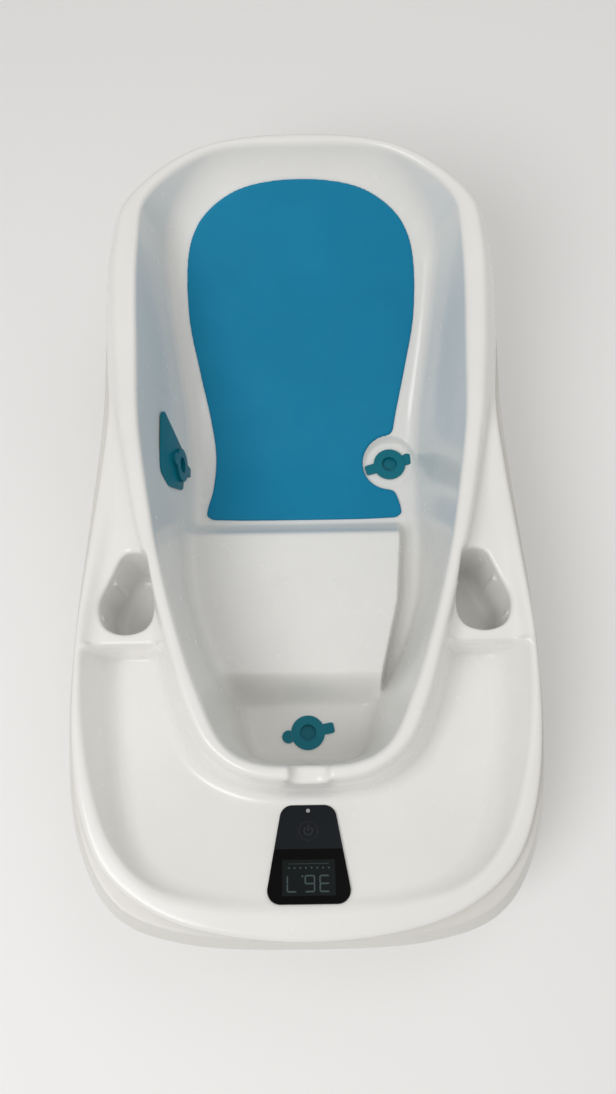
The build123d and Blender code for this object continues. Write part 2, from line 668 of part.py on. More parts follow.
DOOR_SCREW_Y = 12.0
with BuildPart() as door_gasket:
    add(panel_plate(TRAY_BASE - 0.8, TRAY_BASE, TRAY_INSET))
    add(panel_plate(TRAY_BASE - 2, TRAY_BASE + 2, TRAY_INSET + TRAY_WALL), mode=Mode.SUBTRACT)
finish_part(door_gasket.part, "door_gasket")

with BuildPart() as screw_post:
    add(rod(on_plane(PANEL_PLANE, 0, DOOR_SCREW_Y), 3.4, TRAY_BASE + 0.1, BOARD_TOP - 1.7))
    add(rod(on_plane(PANEL_PLANE, 0, DOOR_SCREW_Y), 1.4, TRAY_BASE - 2, TRAY_BASE + 9), mode=Mode.SUBTRACT)
finish_part(screw_post.part, "battery_door_post")

with BuildPart() as battery_door:
    add(panel_plate(TRAY_BASE - 2.8, TRAY_BASE - 0.8, TRAY_INSET))
    add(rod(on_plane(PANEL_PLANE, 0, DOOR_SCREW_Y), 1.6, TRAY_BASE - 4, TRAY_BASE), mode=Mode.SUBTRACT)
finish_part(battery_door.part, "battery_door")

with BuildPart() as door_screw:
    add(rod(on_plane(PANEL_PLANE, 0, DOOR_SCREW_Y), 1.4, TRAY_BASE - 3.2, TRAY_BASE + 7))
    add(rod(on_plane(PANEL_PLANE, 0, DOOR_SCREW_Y), 2.8, TRAY_BASE - 4.4, TRAY_BASE - 2.8))
finish_part(door_screw.part, "door_screw")
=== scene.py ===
from math import atan, cos, radians, sin, tan

import bpy
import numpy as np
from mathutils import Euler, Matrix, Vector


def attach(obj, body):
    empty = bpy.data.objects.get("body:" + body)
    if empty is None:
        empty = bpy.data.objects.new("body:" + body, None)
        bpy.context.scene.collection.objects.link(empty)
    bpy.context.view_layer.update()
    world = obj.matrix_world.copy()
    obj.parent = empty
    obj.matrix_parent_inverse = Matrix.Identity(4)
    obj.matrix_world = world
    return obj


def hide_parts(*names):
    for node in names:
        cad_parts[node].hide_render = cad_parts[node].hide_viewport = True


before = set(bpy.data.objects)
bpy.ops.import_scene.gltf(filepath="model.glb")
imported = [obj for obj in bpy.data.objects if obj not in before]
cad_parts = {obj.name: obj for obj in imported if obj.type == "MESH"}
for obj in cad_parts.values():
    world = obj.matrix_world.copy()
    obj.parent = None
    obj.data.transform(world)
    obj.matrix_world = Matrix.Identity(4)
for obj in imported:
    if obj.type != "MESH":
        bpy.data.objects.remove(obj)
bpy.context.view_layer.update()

MM = 0.001


# ---- fields: distances in millimetres, negative inside ----
def smooth_min(a, b, k):
    h = np.clip(0.5 + 0.5 * (b - a) / k, 0, 1)
    return b * (1 - h) + a * h - k * h * (1 - h)


def smooth_max(a, b, k):
    return -smooth_min(-a, -b, k)


def ease(value):
    t = np.clip(value, 0, 1)
    return t * t * (3 - 2 * t)


def closed_curve(points, steps=16):
    """A smooth closed curve through points."""
    p = np.array(points, float)
    before, after, beyond = np.roll(p, 1, 0), np.roll(p, -1, 0), np.roll(p, -2, 0)
    t = (np.arange(steps) / steps)[:, None, None]
    curve = 0.5 * (2 * p + (after - before) * t + (2 * before - 5 * p + 4 * after - beyond) * t**2
                   + (3 * p - before - 3 * after + beyond) * t**3)
    return curve.transpose(1, 0, 2).reshape(-1, 2)


def both_sides(half):
    """The whole outline of a half one that starts and ends on the centre line."""
    return list(half) + [(-x, y) for x, y in reversed(half[1:-1])]


def outline_field(corners, x, y):
    """Signed distance to a closed outline, on a 2-D grid."""
    best = np.full(x.shape, 1e9)
    inside = np.zeros(x.shape, bool)
    for (ax, ay), (bx, by) in zip(corners, np.roll(corners, -1, 0)):
        ex, ey = bx - ax, by - ay
        px, py = x - ax, y - ay
        t = np.clip((px * ex + py * ey) / (ex * ex + ey * ey + 1e-9), 0, 1)
        best = np.minimum(best, (px - t * ex) ** 2 + (py - t * ey) ** 2)
        crosses = (ay > y) != (by > y)
        if ey:
            inside ^= crosses & (px < ex * py / ey)
    return np.where(inside, -1, 1) * np.sqrt(best)


def rounded(corners, radius, steps=6):
    """A polygon's outline with its corners rounded off."""
    p = np.array(corners, float)
    result = []
    for before, here, after in zip(np.roll(p, 1, 0), p, np.roll(p, -1, 0)):
        start = here + (before - here) * radius / np.linalg.norm(before - here)
        end = here + (after - here) * radius / np.linalg.norm(after - here)
        for t in np.linspace(0, 1, steps):
            result.append((1 - t) ** 2 * start + 2 * t * (1 - t) * here + t * t * end)
    return np.array(result)


def side_curve(points):
    """A height for each y, through (y, z) points."""
    ys, zs = np.array(points, float).T
    return lambda y: smooth_interp(y, ys, zs)


def smooth_interp(y, ys, zs):
    """Cubic Hermite interpolation with limited slopes, so that it never overshoots."""
    secant = np.diff(zs) / np.diff(ys)
    before, after = secant[:-1], secant[1:]
    mean = np.where(before * after > 0, 2 * before * after / (before + after + 1e-12), 0)
    slope = np.concatenate([secant[:1], mean, secant[-1:]])
    i = np.clip(np.searchsorted(ys, y) - 1, 0, len(ys) - 2)
    h = ys[i + 1] - ys[i]
    t = np.clip((y - ys[i]) / h, 0, 1)
    a = (1 + 2 * t) * (1 - t) ** 2 * zs[i] + t * (1 - t) ** 2 * h * slope[i]
    b = t * t * (3 - 2 * t) * zs[i + 1] + t * t * (t - 1) * h * slope[i + 1]
    return a + b


def grid(low, high, step):
    """The three axes of a grid between two corners."""
    return [np.arange(a, b + step, step) for a, b in zip(low, high)]


def polygonize(name, field, axes):
    """Surface nets: a closed quad mesh on a field's zero level, with normals from its gradient."""
    field = field.astype(np.float32)
    sign = field < 0
    corner = [(0, 0, 0), (1, 0, 0), (0, 1, 0), (1, 1, 0), (0, 0, 1), (1, 0, 1), (0, 1, 1), (1, 1, 1)]
    nx, ny, nz = field.shape
    count = np.zeros((nx - 1, ny - 1, nz - 1), np.int8)
    for i, j, k in corner:
        count += sign[i:nx - 1 + i, j:ny - 1 + j, k:nz - 1 + k]
    cell = np.argwhere((count > 0) & (count < 8))
    index = np.full(count.shape, -1, np.int32)
    index[tuple(cell.T)] = np.arange(len(cell))
    value = np.stack([field[tuple((cell + c).T)] for c in corner], 1)
    total = np.zeros((len(cell), 3))
    hits = np.zeros(len(cell))
    for a in range(8):
        for axis, bit in enumerate((1, 2, 4)):
            if a & bit:
                continue
            va, vb = value[:, a], value[:, a | bit]
            cut = (va < 0) != (vb < 0)
            t = np.where(cut, va / np.where(cut, va - vb, 1), 0)
            point = np.array(corner[a], float)[None].repeat(len(cell), 0)
            point[:, axis] += t
            total += point * cut[:, None]
            hits += cut
    place = cell + total / hits[:, None]
    quads = []
    for axis in range(3):
        u, v = (axis + 1) % 3, (axis + 2) % 3
        lower = [slice(None)] * 3
        upper = [slice(None)] * 3
        lower[axis], upper[axis] = slice(0, -1), slice(1, None)
        change = sign[tuple(lower)] != sign[tuple(upper)]
        edge = np.argwhere(change)
        edge = edge[(edge[:, u] > 0) & (edge[:, v] > 0) & (edge[:, u] < field.shape[u] - 1)
                    & (edge[:, v] < field.shape[v] - 1)]
        rising = sign[tuple(edge.T)]
        around = []
        for du, dv in ((-1, -1), (0, -1), (0, 0), (-1, 0)):
            c = edge.copy()
            c[:, u] += du
            c[:, v] += dv
            around.append(index[tuple(c.T)])
        ring = np.stack(around, 1)
        quads.append(np.where(rising[:, None], ring, ring[:, ::-1]))
    quads = np.concatenate(quads)
    step = axes[0][1] - axes[0][0]
    origin = np.array([a[0] for a in axes])
    position = origin + place * step
    normal = np.stack([sample(g, place) for g in np.gradient(field)], 1)
    normal /= np.linalg.norm(normal, axis=1, keepdims=True) + 1e-9
    mesh = bpy.data.meshes.new(name)
    mesh.vertices.add(len(position))
    mesh.vertices.foreach_set("co", (position * MM).astype(np.float32).ravel())
    mesh.loops.add(quads.size)
    mesh.loops.foreach_set("vertex_index", quads.astype(np.int32).ravel())
    mesh.polygons.add(len(quads))
    mesh.polygons.foreach_set("loop_start", np.arange(0, quads.size, 4, dtype=np.int32))
    mesh.polygons.foreach_set("use_smooth", np.ones(len(quads), bool))
    mesh.update(calc_edges=True)
    mesh.validate()
    mesh.normals_split_custom_set_from_vertices(normal)
    obj = bpy.data.objects.new(name, mesh)
    bpy.context.scene.collection.objects.link(obj)
    return obj


def sample(values, place):
    """Values of a 3-D array between its points."""
    base = np.minimum(place.astype(int), np.array(values.shape) - 2)
    t = place - base
    result = np.zeros(len(place))
    for i in (0, 1):
        for j in (0, 1):
            for k in (0, 1):
                weight = (t[:, 0] if i else 1 - t[:, 0]) * (t[:, 1] if j else 1 - t[:, 1])
                weight = weight * (t[:, 2] if k else 1 - t[:, 2])
                result += weight * values[base[:, 0] + i, base[:, 1] + j, base[:, 2] + k]
    return result


# ---- the tub's lines, in millimetres: half outlines run from the foot centre to the head centre ----
BASIN_BOTTOM = [(0, -239), (42, -237), (66, -222), (80, -168), (112, -112), (132, -54), (137, 0),
                (136, 95), (135, 181), (137, 290), (124, 345), (75, 380), (0, 388)]
BASIN_TOP = [(0, -258.5), (52, -255), (92, -234), (122, -185), (138, -120), (153.5, -54), (167, 0),
             (183, 95), (184, 181), (180, 300), (166, 360), (95, 409), (0, 416)]
BASIN_HEIGHT = 290
RIM_BASE = [(0, -281), (68, -276), (118, -247), (145, -195), (163, -135), (180, -60), (197, 0),
            (226, 95), (262, 181), (272, 300), (245, 390), (130, 450), (0, 462)]
RIM_CREST = [(0, -250), (45, -243), (72, -222), (96, -180), (116, -125), (140, -62), (159, 0),
             (173, 95), (176, 181), (186, 300), (172, 358), (100, 414), (0, 426)]
RIM_LOW, RIM_HIGH = 120, 290
LIP = [(0, -414.5), (85, -407), (150, -387), (200, -348), (226, -292), (238, -215), (238, -120),
       (229, -35), (217, 60), (211, 132), (214, 220), (212, 300), (188, 362), (110, 413), (0, 427)]
RESERVOIR_BOTTOM = [(0, -384), (80, -378), (140, -358), (176, -322), (196, -270), (206, -200), (207, -130),
                    (203, -60), (196, 0), (192, 60), (180, 99), (120, 120), (0, 125)]
RESERVOIR_TOP = [(0, -398), (90, -393), (157, -376), (205, -334), (231, -275), (246, -200), (247, -120),
                 (235, -60), (221, 0), (209, 60), (190, 99), (120, 120), (0, 125)]
RESERVOIR_LOW, RESERVOIR_HIGH = 120, 220
SKIRT_FOOT = [(0, -385), (100, -376), (165, -342), (198, -280), (206, -190), (198, -80), (184, 30),
              (172, 140), (158, 225), (120, 295), (60, 325), (0, 332)]
SKIRT_BULGE = [(0, -427), (120, -421), (196, -392), (236, -318), (248, -215), (245, -100), (234, 15),
               (224, 130), (221, 240), (200, 336), (120, 402), (0, 417)]
SKIRT_SHOULDER = [(0, -396), (105, -388), (176, -358), (213, -295), (224, -205), (222, -100), (209, 15),
                  (203, 130), (206, 240), (186, 338), (112, 401), (0, 416)]
BULGE_SLOPE, BULGE_Z, SHOULDER_RISE, GROUND_GAP = 0.092, 164, 62, 4
rim_line = side_curve([(-460, 190.5), (-241, 194), (-46, 208), (114, 233), (264, 259), (470, 284)])
lip_line = side_curve([(-460, 163), (-246, 174), (-46, 189), (164, 214), (470, 254)])
SEAT_Z, PLATEAU_Z = 34, 61
back_line = side_curve([(-600, 14), (-172, 16), (20, 32), (52, 34), (112, 35), (178, 54), (254, 104),
                        (330, 171), (397, 240), (470, 318)])
APRON_LOW, APRON_HIGH = (-288, 131.5), (-395, 167.5)
APRON_SLOPE = atan((APRON_HIGH[1] - APRON_LOW[1]) / (APRON_LOW[0] - APRON_HIGH[0]))
RESERVOIR_FLOOR_Z = 125
shelf_line = side_curve([(-127, 171), (-45, 182), (99, 206), (200, 222)])
POCKET = [(166, -34), (190, -30), (216, -84), (212, -108), (190, -116), (166, -110), (158, -92)]
POCKET_FLOOR_Z, POCKET_TAPER = 92, tan(radians(2.4))
POCKET_RIBS = [(163, -62), (203, -58), (214.5, -96), (174, -113)]
SKIN = 6.0                      # the moulding's thickness, three cells of the grid
LIP_DROP = 16
MAT = [(0, 396), (55, 392), (92, 381), (120, 362), (134, 334), (137, 285), (128, 235), (116, 180), (111, 140),
       (114, 98), (121, 70), (119, 60), (100, 56), (0, 55)]
MAT_T = 4.0
SEAT_DRAIN = (109.0, 127.7)
FOOT_DRAIN = (0.8, -204.5)
SIDE_DRAIN = (-148.8, 107.0, 92.9)
DRAIN_R, SEAT_DRAIN_LEVEL_R, MAT_NOTCH_R = 13.2, 35, 34
WALL_LEAN = radians(9.2)
PLATEAU_FRONT_Y, PLATEAU_FRONT_RAMP = -174, 37
PLATEAU_BACK_Y, PLATEAU_BACK_RAMP = 52, 26
GUTTER_EDGE = ([-190, -120, -55, 20, 70], [78, 96, 112, 118, 119])      # y, and the plateau's right edge there
SHELF_FRONT_Y, SHELF_STEP = -134, 9
SPILLWAY = (2, -262)
SPILLWAY_HALF_WIDTH, SPILLWAY_HALF_LENGTH, SPILLWAY_Z = 19, 30, 180
POCKET_TOP_Z, POCKET_RIB_R, POCKET_RIB_TOP = 171, 2.2, 164
SKIRT_FLANGE, SKIRT_LEDGE, LIP_GAP = 26, 9, 0.7
BASIN_BLEND, RESERVOIR_BLEND, DIVIDER_BLEND, POCKET_BLEND = 17, 16, 14, 12


def footprint(x, y, side):
    """A small raised footprint, 1 on its sole and toes."""
    u, v = x - side * 40, y + 48
    u, v = u * cos(0.3) + side * v * sin(0.3), v * cos(0.3) - side * u * sin(0.3)
    mark = ease((1 - np.hypot(u / 12, (v - 2) / 14)) * 4)
    mark = np.maximum(mark, ease((1 - np.hypot((u + side) / 9, (v + 14) / 11)) * 4))
    for number in range(5):
        toe = np.hypot(u - side * (number * 4.6 - 9), v - 20 + abs(number - 1) * 1.9)
        mark = np.maximum(mark, ease((3.6 - number * 0.35 - toe) / 1.6))
    return mark


def floor_height(x, y):
    """The bathing space's floor: back slope, seat, raised plateau with its gutter, and foot well."""
    low = back_line(y)
    gutter_edge = np.interp(y, *GUTTER_EDGE)
    front = ease((y - PLATEAU_FRONT_Y) / PLATEAU_FRONT_RAMP)
    back = ease((PLATEAU_BACK_Y - y) / PLATEAU_BACK_RAMP)
    right = ease((gutter_edge - x) / 7 + 0.5)
    plateau = PLATEAU_Z + 1.5 * ease((y + 40) / 80) - 1.0 * ease((-y - 20) / 60)
    height = low + (plateau - low) * front * back * right
    for side in (-1, 1):
        height = height + 0.6 * front * back * footprint(x - 8, y, side)
    reach = np.hypot(x - SEAT_DRAIN[0], y - SEAT_DRAIN[1])
    return height + (SEAT_Z - height) * ease((SEAT_DRAIN_LEVEL_R - reach) / 6) * (height > SEAT_Z)


def reservoir_height(y):
    """The reservoir's floor: the sloping apron at the foot, the bottom and the raised shelves beside the basin."""
    apron = APRON_LOW[1] + (APRON_LOW[0] - y) * tan(APRON_SLOPE)
    floor = smooth_max(apron, np.full_like(y, RESERVOIR_FLOOR_Z), RESERVOIR_BLEND)
    shelf = shelf_line(np.maximum(y, -127))
    return floor + (shelf - floor) * ease((y - SHELF_FRONT_Y) / SHELF_STEP)


def steep(height, x_step, y_step):
    """One over the length of a height map's slope vector, which turns heights into distances."""
    gx, gy = np.gradient(height, x_step, y_step)
    return 1 / np.sqrt(1 + gx**2 + gy**2)


class Tub:
    """The tub's fields on one grid."""

    def __init__(self, axes):
        self.x, self.y = np.meshgrid(axes[0], axes[1], indexing="ij")
        self.z = axes[2][None, None, :]
        self.step = axes[0][1] - axes[0][0]

    def flat(self, half):
        return outline_field(closed_curve(both_sides(half)), self.x, self.y)[:, :, None]

    def between(self, low, high, z_low, z_high):
        w = (self.z - z_low) / (z_high - z_low)
        return self.flat(low) * (1 - w) + self.flat(high) * w

    def above(self, height):
        """Negative above a height map."""
        return (height[:, :, None] - self.z) * steep(height, self.step, self.step)[:, :, None]

    def basin(self):
        wall = self.between(BASIN_BOTTOM, BASIN_TOP, 0, BASIN_HEIGHT)
        return smooth_max(wall, self.above(floor_height(self.x, self.y)), BASIN_BLEND)

    def rim(self):
        flank = self.between(RIM_BASE, RIM_CREST, RIM_LOW, RIM_HIGH)
        crest = -self.above(rim_line(self.y))
        return smooth_max(smooth_max(flank, self.flat(LIP), 4), crest, 7)

    def flank(self):
        return self.between(RIM_BASE, RIM_CREST, RIM_LOW, RIM_HIGH)

    def lip(self):
        return smooth_max(self.flat(LIP), -self.above(lip_line(self.y)), 6)

    def reservoir(self):
        wall = self.between(RESERVOIR_BOTTOM, RESERVOIR_TOP, RESERVOIR_LOW, RESERVOIR_HIGH)
        return smooth_max(wall, self.above(reservoir_height(self.y)), RESERVOIR_BLEND)

    def pockets(self):
        right = outline_field(rounded(POCKET, 11), np.abs(self.x), self.y)
        right = (right - 1.0)[:, :, None] + (POCKET_TOP_Z - self.z) * POCKET_TAPER
        cup = smooth_max(right, POCKET_FLOOR_Z - self.z, POCKET_BLEND)
        for rib_x, rib_y in POCKET_RIBS:
            rib = POCKET_RIB_R - np.hypot(np.abs(self.x) - rib_x, self.y - rib_y)[:, :, None] + 0 * self.z
            cup = smooth_max(cup, np.minimum(rib, POCKET_RIB_TOP - self.z), 2)
        return cup

    def spillway(self):
        across = np.abs(self.x - SPILLWAY[0])[:, :, None] - SPILLWAY_HALF_WIDTH
        along = np.abs(self.y - SPILLWAY[1])[:, :, None] - SPILLWAY_HALF_LENGTH
        return smooth_max(smooth_max(across, SPILLWAY_Z - self.z, 14), along + 0 * self.z, 4)

    def drains(self):
        field = None
        for x, y in (SEAT_DRAIN, FOOT_DRAIN):
            hole = np.hypot(self.x - x, self.y - y)[:, :, None] - DRAIN_R
            hole = np.maximum(hole, self.z - 60) + 0 * self.z
            field = hole if field is None else np.minimum(field, hole)
        dx = (self.x - SIDE_DRAIN[0])[:, :, None]
        dy = (self.y - SIDE_DRAIN[1])[:, :, None]
        dz = self.z - SIDE_DRAIN[2]
        along = dx * cos(WALL_LEAN) + dz * sin(WALL_LEAN)
        off_axis = np.sqrt(np.maximum(dx**2 + dy**2 + dz**2 - along**2, 0))
        return np.minimum(field, np.maximum(off_axis - DRAIN_R, np.abs(along) - 22))


def tub_field(axes):
    tub = Tub(axes)
    basin = tub.basin()
    rim = tub.rim()
    flank = tub.flank()
    reservoir = tub.reservoir()
    space = smooth_max(reservoir, -flank, DIVIDER_BLEND)
    pockets = tub.pockets()
    envelope = smooth_min(rim, tub.lip(), 4)
    above_drop = (lip_line(tub.y) - LIP_DROP)[:, :, None] - tub.z
    keep = np.minimum(np.minimum(basin, reservoir), pockets) - SKIN
    skin = np.minimum(keep, np.maximum(-(envelope + SKIN), above_drop))
    solid = smooth_max(envelope, -basin, 7)
    solid = smooth_max(solid, -space, 5)
    solid = smooth_max(solid, -pockets, 4)
    solid = smooth_max(solid, -tub.spillway(), 5)
    return np.maximum(np.maximum(solid, skin), -tub.drains())


def skirt_field(axes):
    tub = Tub(axes)
    bulge_z = (BULGE_Z + BULGE_SLOPE * tub.y)[:, :, None]
    s = (tub.z - GROUND_GAP) / (bulge_z - GROUND_GAP)
    q = (tub.z - bulge_z) / SHOULDER_RISE
    foot, bulge, shoulder = tub.flat(SKIRT_FOOT), tub.flat(SKIRT_BULGE), tub.flat(SKIRT_SHOULDER)
    lower = foot * (1 - s) + bulge * s
    upper = bulge * (1 - q) + shoulder * q
    side = smooth_max(lower, upper, 6)
    top = tub.z - (lip_line(tub.y) - LIP_DROP - LIP_GAP)[:, :, None]
    shell = np.maximum(np.maximum(side, -(side + SKIN)), top)
    flange = np.maximum(np.maximum(foot, -(foot + SKIRT_FLANGE)), tub.z - GROUND_GAP - SKIN)
    ledge = np.maximum(np.maximum(side, -(tub.flat(LIP) + SKIRT_LEDGE)), np.maximum(top, -(top + SKIN)))
    shell = np.minimum(shell, ledge)
    return np.maximum(smooth_min(shell, flange, 3), GROUND_GAP - tub.z)


def mat_field(axes):
    tub = Tub(axes)
    height = floor_height(tub.x, tub.y)
    over = -tub.above(height + MAT_T)
    under = tub.above(height - 1.0)
    edge = tub.flat(list(reversed(MAT)))
    notch = (MAT_NOTCH_R - np.hypot(tub.x - SEAT_DRAIN[0], tub.y - SEAT_DRAIN[1]))[:, :, None]
    plan = smooth_max(edge, notch, 10)
    return np.maximum(smooth_max(plan, over, 3), under)


# ---- materials ----
def material(name, color, roughness, **inputs):
    """A Principled material, returned with its nodes for further detail."""
    mat = bpy.data.materials.new(name)
    mat.use_nodes = True
    shader = mat.node_tree.nodes["Principled BSDF"]
    shader.inputs["Base Color"].default_value = (*color, 1)
    shader.inputs["Roughness"].default_value = roughness
    for key, value in inputs.items():
        shader.inputs[key.replace("_", " ")].default_value = value
    return mat


def node(mat, kind, **settings):
    made = mat.node_tree.nodes.new(kind)
    for key, value in settings.items():
        if key in made.inputs:
            made.inputs[key].default_value = value
        else:
            setattr(made, key, value)
    return made


def link(mat, a, a_socket, b, b_socket):
    mat.node_tree.links.new(a.outputs[a_socket], b.inputs[b_socket])


def mottle(mat, dark, light, scale, detail=3.0):
    """Slow colour variation between two close tones."""
    place = node(mat, "ShaderNodeTexCoord")
    noise = node(mat, "ShaderNodeTexNoise", Scale=scale, Detail=detail, Roughness=0.55)
    ramp = node(mat, "ShaderNodeValToRGB")
    ramp.color_ramp.elements[0].position = 0.3
    ramp.color_ramp.elements[1].position = 0.7
    ramp.color_ramp.elements[0].color = (*dark, 1)
    ramp.color_ramp.elements[1].color = (*light, 1)
    link(mat, place, "Object", noise, "Vector")
    link(mat, noise, "Fac", ramp, "Fac")
    link(mat, ramp, "Color", mat.node_tree.nodes["Principled BSDF"], "Base Color")
    return place


def texture_bump(mat, place, scale, distance, strength, kind="ShaderNodeTexNoise"):
    noise = node(mat, kind, Scale=scale)
    bump = node(mat, "ShaderNodeBump", Strength=strength, Distance=distance)
    link(mat, place, "Object", noise, "Vector")
    link(mat, noise, 0, bump, "Height")
    link(mat, bump, "Normal", mat.node_tree.nodes["Principled BSDF"], "Normal")
    return noise


def vary_roughness(mat, place, low, high, scale):
    noise = node(mat, "ShaderNodeTexNoise", Scale=scale, Detail=4.0)
    spread = node(mat, "ShaderNodeMapRange")
    spread.inputs["To Min"].default_value = low
    spread.inputs["To Max"].default_value = high
    link(mat, place, "Object", noise, "Vector")
    link(mat, noise, "Fac", spread, "Value")
    link(mat, spread, "Result", mat.node_tree.nodes["Principled BSDF"], "Roughness")


def detailed(name, dark, light, roughness, grain, depth, **inputs):
    """Moulded material: two close tones, a fine grain and uneven gloss."""
    mat = material(name, light, roughness, **inputs)
    place = mottle(mat, dark, light, 9)
    texture_bump(mat, place, grain, depth, 0.35)
    vary_roughness(mat, place, roughness * 0.85, roughness * 1.15, 40)
    return mat


white = detailed("white_polypropylene", (0.83, 0.822, 0.80), (0.865, 0.858, 0.836), 0.26, 900, 0.00003,
                 Coat_Weight=0.12)
# Painted shade: the skirt is the same white plastic as the tub, given darker warm tones that stand in for the
# shade on its sides
skirt_white_painted_shade = detailed("skirt_polypropylene_painted_shade", (0.70, 0.685, 0.655), (0.74, 0.725, 0.695), 0.3, 900, 0.00003,
                       Coat_Weight=0.08)
mat_blue = detailed("mat_foam", (0.003, 0.205, 0.375), (0.005, 0.235, 0.42), 0.6, 1400, 0.00025,
                    Specular_IOR_Level=0.18)
teal = detailed("teal_elastomer", (0.001, 0.155, 0.215), (0.002, 0.18, 0.245), 0.4, 1500, 0.00006,
                Specular_IOR_Level=0.22)
grey_rubber = detailed("foot_rubber", (0.12, 0.125, 0.13), (0.16, 0.165, 0.17), 0.75, 1200, 0.0001)
black_seal = detailed("seal_silicone", (0.012, 0.012, 0.013), (0.02, 0.02, 0.022), 0.6, 900, 0.00005)
black_plastic = detailed("housing_plastic", (0.012, 0.012, 0.014), (0.02, 0.02, 0.023), 0.45, 1500, 0.00006)
cover_plastic = detailed("cover_plastic", (0.008, 0.010, 0.013), (0.011, 0.014, 0.018), 0.42, 1800, 0.00005,
                         Specular_IOR_Level=0.12)
window_black = detailed("window_black", (0.0015, 0.0015, 0.0016), (0.0025, 0.0025, 0.0026), 0.1, 300,
                        0.000005, Specular_IOR_Level=0.1)
lcd_dark = detailed("lcd_dark", (0.006, 0.009, 0.009), (0.009, 0.012, 0.012), 0.2, 600, 0.00001,
                    Specular_IOR_Level=0.12)
lcd_segment = detailed("lcd_segment", (0.045, 0.07, 0.075), (0.06, 0.085, 0.09), 0.35, 600, 0.00001,
                       Specular_IOR_Level=0.2)
mark_grey = detailed("mark_grey", (0.03, 0.034, 0.04), (0.04, 0.045, 0.05), 0.4, 800, 0.00001,
                     Specular_IOR_Level=0.2)
steel = detailed("steel", (0.5, 0.5, 0.52), (0.62, 0.62, 0.64), 0.28, 1200, 0.00003, Metallic=1.0)
board_green = detailed("board_green", (0.004, 0.07, 0.03), (0.006, 0.10, 0.04), 0.35, 700, 0.00004)
cell_wrap = detailed("cell_wrap", (0.25, 0.25, 0.27), (0.4, 0.4, 0.42), 0.3, 500, 0.00002, Metallic=0.8)


def dress(obj, mat):
    obj.data.materials.clear()
    obj.data.materials.append(mat)


def carried(name, mat):
    """A CAD piece kept as it is, with a finished material."""
    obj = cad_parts[name]
    for slot in obj.material_slots:
        slot.material = mat
    if not obj.material_slots:
        obj.data.materials.append(mat)


# ---- large pieces ----
GRID = 2.0
tub_axes = grid((-244, -420, 0), (244, 434, 290), GRID)
tub_piece = polygonize("tub_moulding", tub_field(tub_axes), tub_axes)
dress(tub_piece, white)
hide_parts("tub_shell")
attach(tub_piece, "tub")

skirt_axes = grid((-254, -433, 0), (254, 424, 262), GRID)
skirt_piece = polygonize("skirt_moulding", skirt_field(skirt_axes), skirt_axes)
# the skirt's darker tone is painted shade, not a different plastic
dress(skirt_piece, skirt_white_painted_shade)
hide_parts("outer_skirt")
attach(skirt_piece, "tub")

mat_axes = grid((-144, 48, 26), (144, 404, 256), 1.5)
mat_piece = polygonize("back_pad", mat_field(mat_axes), mat_axes)
dress(mat_piece, mat_blue)
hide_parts("back_mat")
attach(mat_piece, "tub")

# ---- carried pieces ----
for name in ("foot_plug", "seat_plug", "side_plug", "side_drain_insert"):
    carried(name, teal)
for name in ("foot_plug_anchor", "seat_plug_anchor", "side_plug_anchor"):
    carried(name, teal)
for name in ("foot_pad_front_left", "foot_pad_front_right", "foot_pad_rear_left", "foot_pad_rear_right"):
    carried(name, grey_rubber)
for name in ("housing_gasket", "door_gasket"):
    carried(name, black_seal)
for name in ("thermometer_housing", "battery_door", "battery_door_post", "button_switch"):
    carried(name, black_plastic)
for name in ("button_cover", "power_button"):
    carried(name, cover_plastic)
for name in ("skirt_screws", "housing_screws", "door_screw", "temperature_sensor", "battery_contacts"):
    carried(name, steel)
carried("display_window", window_black)
carried("lcd_panel", lcd_dark)
carried("circuit_board", board_green)
carried("battery_cells", cell_wrap)

# ---- marks on the thermometer's face, laid on its sloping plane ----
FACE_Y, FACE_LIFT = -335.0, 2.5
FACE_Z = APRON_LOW[1] + (APRON_LOW[0] - FACE_Y) * tan(APRON_SLOPE)


def on_face(x, y, height):
    """A point on the thermometer's plane, in metres."""
    up = FACE_LIFT + height
    return Vector((x, FACE_Y + y * cos(APRON_SLOPE) + up * sin(APRON_SLOPE),
                   FACE_Z - y * sin(APRON_SLOPE) + up * cos(APRON_SLOPE))) * MM


def face_plates(name, outlines, mat, low=-0.3, high=0.25):
    """Thin raised plates with these outlines on the thermometer's face, as one piece."""
    verts, faces = [], []
    for outline in outlines:
        n, start = len(outline), len(verts)
        verts += [on_face(x, y, low) for x, y in outline] + [on_face(x, y, high) for x, y in outline]
        faces.append(list(range(start + n - 1, start - 1, -1)))
        faces.append(list(range(start + n, start + 2 * n)))
        for i in range(n):
            j = (i + 1) % n
            faces.append([start + i, start + j, start + n + j, start + n + i])
    mesh = bpy.data.meshes.new(name)
    mesh.from_pydata(verts, [], faces)
    obj = bpy.data.objects.new(name, mesh)
    bpy.context.scene.collection.objects.link(obj)
    dress(obj, mat)
    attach(obj, "tub")
    return obj


def bar(x0, y0, x1, y1, width):
    """A straight stroke's outline with pointed ends."""
    along = np.array((x1 - x0, y1 - y0), float)
    length = np.linalg.norm(along)
    along /= length
    side = np.array((-along[1], along[0])) * width / 2
    a, b = np.array((x0, y0)), np.array((x1, y1))
    tip = along * width / 2
    return [a, a + tip - side, b - tip - side, b, b - tip + side, a + tip + side]


def disc(x, y, radius, count=20):
    return [(x + radius * cos(t), y + radius * sin(t)) for t in np.linspace(0, 2 * np.pi, count, False)]


def ring(x, y, radius, width, start=0.0, end=2 * np.pi, count=22):
    """Short quads along an arc."""
    angles = np.linspace(start, end, count + 1)
    inner, outer = radius - width / 2, radius + width / 2
    return [[(x + inner * cos(a), y + inner * sin(a)), (x + outer * cos(a), y + outer * sin(a)),
             (x + outer * cos(b), y + outer * sin(b)), (x + inner * cos(b), y + inner * sin(b))]
            for a, b in zip(angles, angles[1:])]


